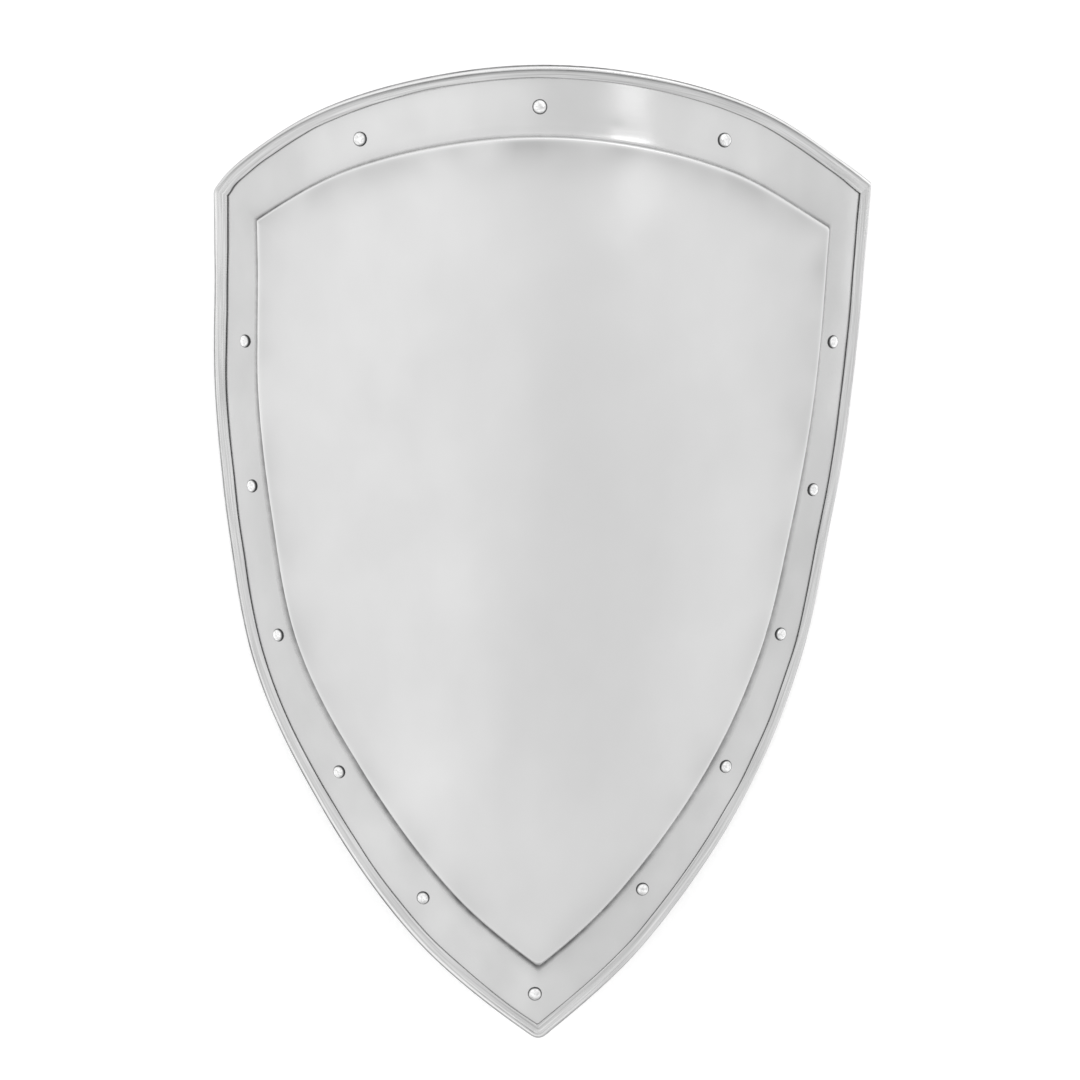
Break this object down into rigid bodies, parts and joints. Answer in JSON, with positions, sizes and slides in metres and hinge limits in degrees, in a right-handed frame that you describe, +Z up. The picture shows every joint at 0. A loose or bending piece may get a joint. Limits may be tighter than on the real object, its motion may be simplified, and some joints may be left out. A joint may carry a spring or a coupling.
{
  "type": "heater shield",
  "caption": "Curved heater shield beaten from one steel sheet, with a raised panel, a border set with rivets and a rolled hem; carried on the arm to guard the body.",
  "frame": {"origin": "on the surface that the shield lies on, under the middle of its bounding box", "axes": "+Z up, out of the shield's front; +Y from the tip to the top edge; +X to the right as the front is seen"},
  "size_m": [0.4928, 0.7064, 0.1241],
  "materials": {
    "plate_steel": "mild steel sheet, planished by hand and polished to a soft satin",
    "rivet_steel": "steel rivets with bright polished heads"
  },
  "bodies": {
    "root": {"shield_plate": "plate_steel", "rivet_top_left": "rivet_steel", "rivet_top_middle": "rivet_steel", "rivet_top_right": "rivet_steel", "rivet_left_1": "rivet_steel", "rivet_left_2": "rivet_steel", "rivet_left_3": "rivet_steel", "rivet_left_4": "rivet_steel", "rivet_left_5": "rivet_steel", "rivet_right_1": "rivet_steel", "rivet_right_2": "rivet_steel", "rivet_right_3": "rivet_steel", "rivet_right_4": "rivet_steel", "rivet_right_5": "rivet_steel", "rivet_tip": "rivet_steel"}
  },
  "joints": []
}
